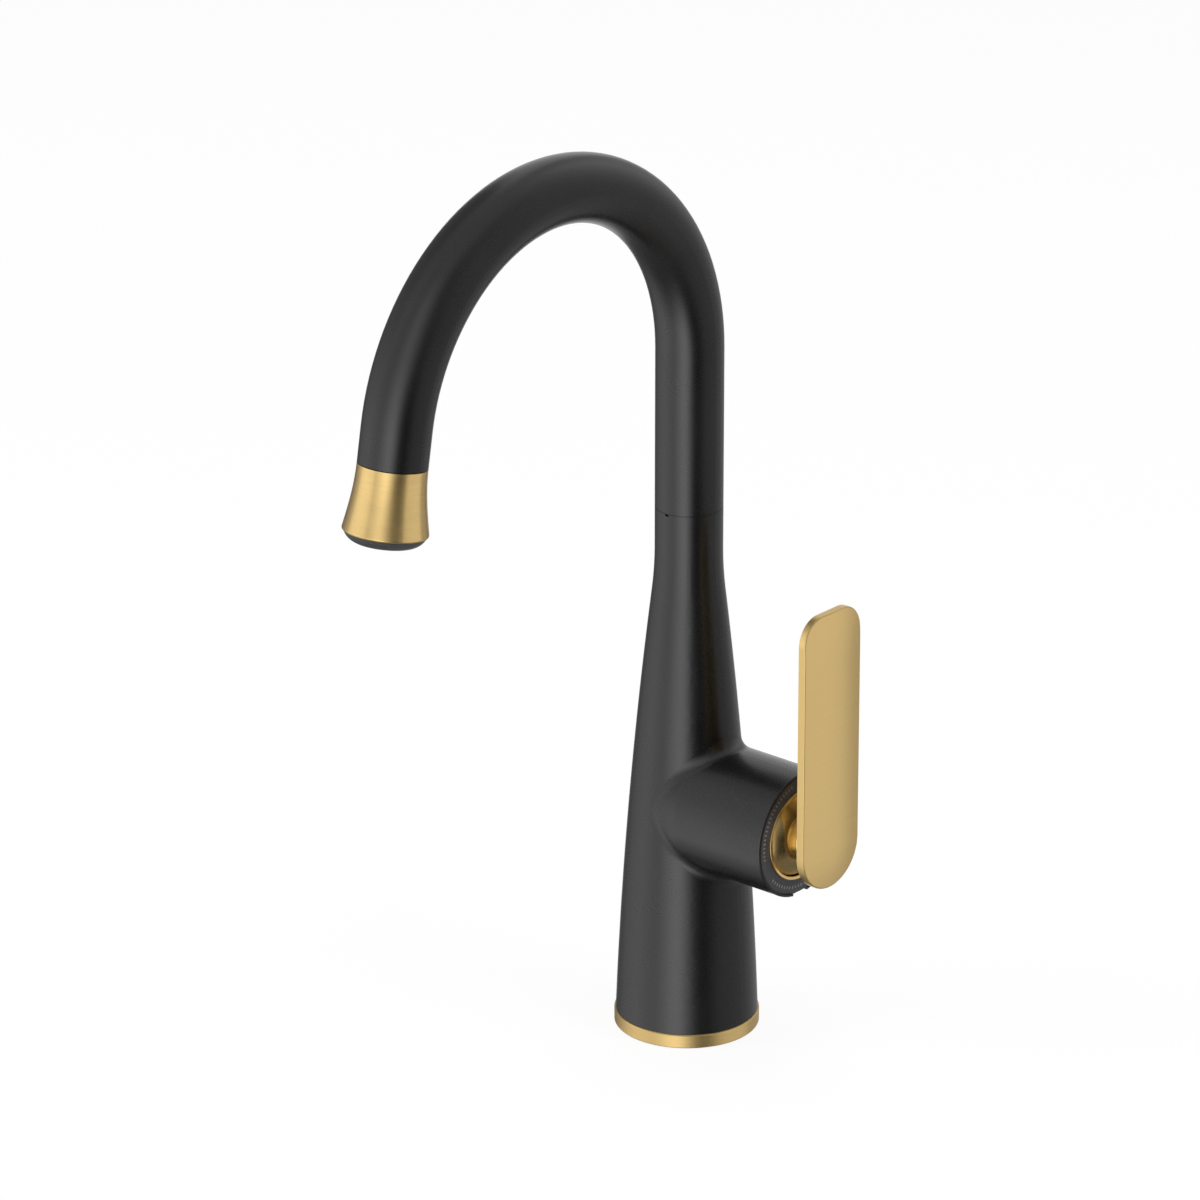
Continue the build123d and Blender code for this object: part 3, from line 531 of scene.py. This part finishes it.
# Flared body with its valve arm. One brass casting, ground smooth and coated satin black: a thin,
# even skin with a very fine grain, a touch duller here and there.
satin_black = grained_finish(
    "satin_black",
    dark=(0.0035, 0.0035, 0.0036),
    light=(0.006, 0.006, 0.0062),
    roughness=(0.25, 0.3),
    grains=3600.0,
    depth=0.000006,
    ior=1.7,
)
dress(satin_black, "body_casting")


# Swivel in the body's neck. An acetal bushing, the turned brass journal with its rubber rings, a
# spring-steel clip that keeps it from lifting, and a slip washer that fills the seam, blackened to
# match, so that only a hairline and the index notch are seen.
SLIP_R = 0.0119
SLIP_BORE_R = 0.0095
SLIP_ROUND = 0.00006
slip_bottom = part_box("swivel_washer")[0].z
slip_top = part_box("swivel_washer")[1].z
slip_washer = start_piece("slip_washer")
draw_outline(
    [
        (SLIP_BORE_R, 0.0, slip_bottom),
        (SLIP_R - SLIP_ROUND, 0.0, slip_bottom),
        (SLIP_R, 0.0, slip_bottom + SLIP_ROUND),
        (SLIP_R, 0.0, slip_top - SLIP_ROUND),
        (SLIP_R - SLIP_ROUND, 0.0, slip_top),
        (SLIP_BORE_R, 0.0, slip_top),
        (SLIP_BORE_R, 0.0, slip_bottom),
    ]
)
turn_outline(TURNED_STEPS)
close_piece(TURNED_SMOOTH)
dress(satin_black, slip_washer)
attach(slip_washer, "faucet_body")
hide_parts("swivel_washer")

acetal = grained_finish(
    "white_acetal",
    dark=(0.7, 0.7, 0.67),
    light=(0.82, 0.82, 0.8),
    roughness=(0.34, 0.46),
    grains=1800.0,
    depth=0.00001,
)
steel = turned_finish(
    "stainless_steel",
    dark=(0.42, 0.42, 0.42),
    light=(0.66, 0.66, 0.66),
    roughness=(0.2, 0.36),
    lines=3000.0,
    depth=0.000008,
)
dress(acetal, "neck_bushing")
dress(raw_brass, "swivel_journal")
dress(rubber, "swivel_rings")
dress(steel, "snap_ring")


# Gooseneck. One drawn brass tube of 24 mm, bent to a half round and coated with the body in the
# same satin black; its lower end turns on the body at a hairline seam.
dress(satin_black, "spout_tube")


# Dock in the spout's end. A moulded collar that centres the spray head's neck, and behind it a
# ring magnet of sintered ferrite that holds the head up.
dark_plastic = grained_finish(
    "dark_plastic",
    dark=(0.038, 0.039, 0.042),
    light=(0.06, 0.061, 0.065),
    roughness=(0.36, 0.5),
    grains=2600.0,
    depth=0.000014,
)
ferrite = grained_finish(
    "sintered_ferrite",
    dark=(0.05, 0.05, 0.052),
    light=(0.11, 0.11, 0.115),
    roughness=(0.5, 0.7),
    grains=3200.0,
    depth=0.00002,
)
dress(dark_plastic, "dock_collar")
dress(ferrite, "dock_magnet")


# Spray hose. A rubber tube in a dark braided nylon sleeve, 11 mm across, led up the column and
# round the bend. Its last run slides out of the dock with the spray head.
HOSE_R = 0.0055
HOSE_SIDES = 40
HOSE_SMOOTH = 50.0
HOSE_LEG = 0.0099
BEND_R = 0.0757
BEND_Z = 0.2553
BEND_DEG = 170.0
LEAN = radians(180.0 - BEND_DEG)
LEG_DIR = Vector((0.0, -sin(LEAN), -cos(LEAN)))
COLUMN_STEPS = 32
BEND_STEPS = 48
LEG_STEPS = 60
STRANDS = 14
# Braid tones from the gaps between strands up to their crowns: painted shade in the gaps, painted sheen on
# the crowns.
NYLON_TONES_WITH_PAINTED_SHADE = ((0.3, (0.008, 0.008, 0.0085)), (0.7, (0.04, 0.04, 0.042)), (1.0, (0.1, 0.1, 0.103)))
bend_end = Vector((0.0, -BEND_R * (1 + cos(LEAN)), BEND_Z + BEND_R * sin(LEAN)))
hose_end = bend_end + LEG_DIR * HOSE_LEG
head_tilt = (pi - LEAN, 0.0, 0.0)


def leg_place(distance):
    """A place on the axis of the spout's last leg, with Z pointing out along it."""
    along_leg = LEG_DIR.to_track_quat("Z", "Y").to_matrix().to_4x4()
    return Matrix.Translation(bend_end + LEG_DIR * distance) @ along_leg


def start_hose(name, place):
    """Leaves a filled round of the hose's size at a place, selected in edit mode."""
    bpy.ops.object.select_all(action="DESELECT")
    bpy.ops.mesh.primitive_circle_add(vertices=HOSE_SIDES, radius=HOSE_R, fill_type="NGON")
    piece = bpy.context.object
    piece.name = name
    piece.matrix_world = place
    bpy.ops.object.transform_apply(location=True, rotation=True, scale=True)
    bpy.ops.object.mode_set(mode="EDIT")
    bpy.ops.mesh.select_all(action="SELECT")
    return piece


def extrude_hose(run, steps):
    """Draws the selected round out along a straight run, in equal steps."""
    for step in range(steps):
        bpy.ops.mesh.extrude_region_move(TRANSFORM_OT_translate={"value": run / steps})


hose_run = start_hose("hose_run", Matrix.Translation((0.0, 0.0, SHANK_BOTTOM)))
extrude_hose(Vector((0.0, 0.0, BEND_Z - SHANK_BOTTOM)), COLUMN_STEPS)
bpy.ops.mesh.spin(
    steps=BEND_STEPS, angle=-radians(BEND_DEG), center=(0.0, -BEND_R, BEND_Z), axis=(1.0, 0.0, 0.0)
)
close_piece(HOSE_SMOOTH)
hose_tail = start_hose("hose_tail", leg_place(0.0))
extrude_hose(hose_end - bend_end, LEG_STEPS)
close_piece(HOSE_SMOOTH)


def braided_finish(name, centre, turn):
    """Nylon braid round an axis through centre; turn lays the axis on Z."""
    finish, weave = new_finish(name)
    spot = add_node(weave, "SeparateXYZ", {0: laid_vector(weave, centre, turn)})
    angle = calc(weave, "ARCTAN2", spot.outputs["Y"], spot.outputs["X"])
    about = calc(weave, "MULTIPLY", angle, STRANDS)
    along = calc(weave, "MULTIPLY", spot.outputs["Z"], STRANDS / HOSE_R)
    right_hand = calc(weave, "SINE", calc(weave, "ADD", about, along))
    left_hand = calc(weave, "SINE", calc(weave, "SUBTRACT", about, along))
    plait = spread_value(weave, calc(weave, "MAXIMUM", right_hand, left_hand), (-1.0, 1.0))
    # The colour follows the strands' height: painted shade in the gaps between them, painted sheen on their
    # crowns.
    strand_tone_and_shade = add_node(weave, "ValToRGB", {"Fac": plait})
    set_ramp(strand_tone_and_shade, NYLON_TONES_WITH_PAINTED_SHADE)
    raised_plait = add_node(weave, "Bump", {"Height": plait, "Strength": 0.7, "Distance": 0.0004})
    nylon = add_node(
        weave,
        "BsdfPrincipled",
        {"Base Color": strand_tone_and_shade.outputs[0], "Roughness": 0.5, "Normal": raised_plait.outputs[0]},
    )
    add_node(weave, "OutputMaterial", {"Surface": nylon.outputs[0]})
    return finish


dress(braided_finish("hose_braid_column", (0.0, 0.0, 0.0), (0.0, 0.0, 0.0)), hose_run)
dress(braided_finish("hose_braid_leg", tuple(bend_end), head_tilt), hose_tail)
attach(hose_run, "spout")
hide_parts("spray_hose")
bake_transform(hose_tail)


# Spray head. A flared brass shell, plated gold and brushed round, over a moulded core whose neck
# sits in the dock. The hose is crimped into the neck under a steel ferrule.
head_gold = turned_finish(
    "brushed_gold_head",
    dark=GOLD_DARK,
    light=GOLD_LIGHT,
    roughness=(0.27, 0.34),
    lines=1800.0,
    depth=0.000005,
    metallic=GOLD_METALLIC,
    spread=GOLD_SPREAD,
    centre=tuple(bend_end),
    turn=head_tilt,
)
dress(head_gold, "spray_shell")
dress(dark_plastic, "spray_core")
dress(rubber, "neck_ring")
dress(steel, "hose_ferrule", "magnet_keeper")


# Nozzle face with its aerator. A dark moulded cap that rounds off under the shell, dished round a
# steel screen, with a ring of soft rubber jets that scale can be rubbed off.
JET_COUNT = 14
JET_RING_R = 0.0074
JET_FLOOR = 0.0382
JET_STEPS = 20
# A jet's outline, across and up: foot, tapered side, rounded lip and hole.
JET_OUTLINE = (
    (0.0, 0.0),
    (0.00075, 0.0),
    (0.00063, 0.00045),
    (0.00056, 0.00062),
    (0.00046, 0.0007),
    (0.00032, 0.0007),
    (0.00026, 0.0006),
    (0.00026, 0.0001),
    (0.0, 0.0001),
)
dress(dark_plastic, "nozzle_face")
dress(steel, "aerator")
rubber_jets = start_piece("rubber_jets")
draw_outline([(JET_RING_R + across, 0.0, up) for across, up in JET_OUTLINE])
turn_outline(JET_STEPS, centre=(JET_RING_R, 0.0, 0.0))
bpy.ops.mesh.select_all(action="SELECT")
bpy.ops.mesh.spin(
    steps=JET_COUNT - 1,
    dupli=True,
    angle=2 * pi * (JET_COUNT - 1) / JET_COUNT,
    center=(0.0, 0.0, 0.0),
    axis=(0.0, 0.0, 1.0),
)
close_piece()
rubber_jets.matrix_world = leg_place(JET_FLOOR)
bpy.ops.object.transform_apply(location=True, rotation=True, scale=True)
dress(rubber, rubber_jets)
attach(rubber_jets, "spray_head")
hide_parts("nozzle_tips")


# Mixing cartridge in the arm. Acetal base and shell, lapped ceramic discs, rubber port seals, a
# slotted brass nut on top, and a turret with a steel pin that the lever tilts about.
ceramic = grained_finish(
    "lapped_ceramic",
    dark=(0.78, 0.76, 0.7),
    light=(0.86, 0.84, 0.79),
    roughness=(0.1, 0.2),
    grains=4000.0,
    depth=0.000002,
    ior=1.7,
)
dress(acetal, "cartridge_base", "cartridge_shell", "turret", "disc_carrier")
dress(ceramic, "fixed_disc", "moving_disc")
dress(rubber, "port_seals")
dress(raw_brass, "retaining_nut")
dress(steel, "pivot_pin")


# Trim ring and bezel at the arm's mouth. A matt dark ring pressed into the collar, with fine grey
# ticks moulded through its face in two arcs, and a polished gold lip in its bore.
VALVE_Z = 0.0868
TRIM_FACE_X = 0.0514
TICK_R = 0.0196
TICK_STEP = radians(4.6)
TICK_SIZE = (0.00006, 0.0003, 0.001)
TICK_ARCS = ((radians(14.0), 20), (radians(132.0), 18))
polished_gold = turned_finish(
    "polished_gold",
    dark=(0.6, 0.43, 0.178),
    light=(0.7, 0.5, 0.206),
    roughness=(0.09, 0.15),
    lines=3000.0,
    depth=0.000001,
    metallic=0.95,
    centre=(0.0, 0.0, VALVE_Z),
    turn=(0.0, pi / 2, 0.0),
)
dress(dark_plastic, "trim_ring")
dress(polished_gold, "bezel")
tick_arcs = []
for start, ticks in TICK_ARCS:
    bpy.ops.object.select_all(action="DESELECT")
    bpy.ops.mesh.primitive_cube_add(size=1.0)
    tick_arc = bpy.context.object
    tick_arc.name = "ring_ticks"
    tick_arc.matrix_world = (
        Matrix.Translation((TRIM_FACE_X, 0.0, VALVE_Z))
        @ Matrix.Rotation(start, 4, "X")
        @ Matrix.Translation((0.0, 0.0, TICK_R))
        @ Matrix.Diagonal((*TICK_SIZE, 1.0))
    )
    bpy.ops.object.transform_apply(location=True, rotation=True, scale=True)
    bpy.ops.object.mode_set(mode="EDIT")
    bpy.ops.mesh.select_all(action="SELECT")
    bpy.ops.mesh.spin(
        steps=ticks - 1,
        dupli=True,
        angle=-TICK_STEP * (ticks - 1),
        center=(0.0, 0.0, VALVE_Z),
        axis=(1.0, 0.0, 0.0),
    )
    close_piece()
    tick_arcs.append(tick_arc)
join_pieces(tick_arcs)
ring_ticks = tick_arcs[0]
grey_ticks = grained_finish(
    "grey_ticks",
    dark=(0.28, 0.282, 0.285),
    light=(0.34, 0.342, 0.346),
    roughness=(0.4, 0.5),
    grains=2600.0,
    depth=0.000008,
)
dress(grey_ticks, ring_ticks)
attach(ring_ticks, "faucet_body")


# Lever. A brass stem from the cartridge, a polished gold dome that flares out into the paddle, a
# steel grub screw, and the paddle itself, a gold bar brushed straight across its crowned face.
HAIR_SCALE = (400.0, 22.0, 2600.0)
STREAK_SCALE = (120.0, 9.0, 620.0)
STROKE_SPAN = (0.1, 0.9)
PADDLE_GLOSS = (0.28, 0.33)
dress(raw_brass, "lever_stem")
dress(polished_gold, "lever_hub")
dress(steel, "lever_screw")
paddle_gold, brushing = new_finish("brushed_gold_paddle")
paddle_coords = add_node(brushing, "TexCoord", {})
drawn = add_node(brushing, "Mapping", {"Vector": paddle_coords.outputs["Object"], "Scale": HAIR_SCALE})
hairs = add_node(
    brushing, "TexNoise", {"Vector": drawn.outputs[0], "Scale": 1.0, "Detail": 3.0, "Roughness": 0.6}
)
drawn_wide = add_node(brushing, "Mapping", {"Vector": paddle_coords.outputs["Object"], "Scale": STREAK_SCALE})
streaks = add_node(brushing, "TexNoise", {"Vector": drawn_wide.outputs[0], "Scale": 1.0, "Detail": 2.0})
both_strokes = add_node(brushing, "Mix", {"Factor": 0.5, "A": hairs.outputs[0], "B": streaks.outputs[0]})
strokes = both_strokes.outputs[0]
stroke_groove = add_node(
    brushing, "Bump", {"Height": hairs.outputs[0], "Strength": 0.3, "Distance": 0.000002}
)
paddle_metal = add_node(
    brushing,
    "BsdfPrincipled",
    {
        "Base Color": mixed_colour(
            brushing, spread_value(brushing, strokes, STROKE_SPAN), GOLD_DARK, GOLD_LIGHT
        ),
        "Metallic": GOLD_METALLIC,
        "Roughness": spread_value(brushing, strokes, GLOSS_SPAN, PADDLE_GLOSS),
        "Anisotropic": GOLD_SPREAD,
        "Anisotropic Rotation": QUARTER_TURN,
        "Normal": stroke_groove.outputs[0],
    },
)
add_node(brushing, "OutputMaterial", {"Surface": paddle_metal.outputs[0]})
dress(paddle_gold, "lever_paddle")
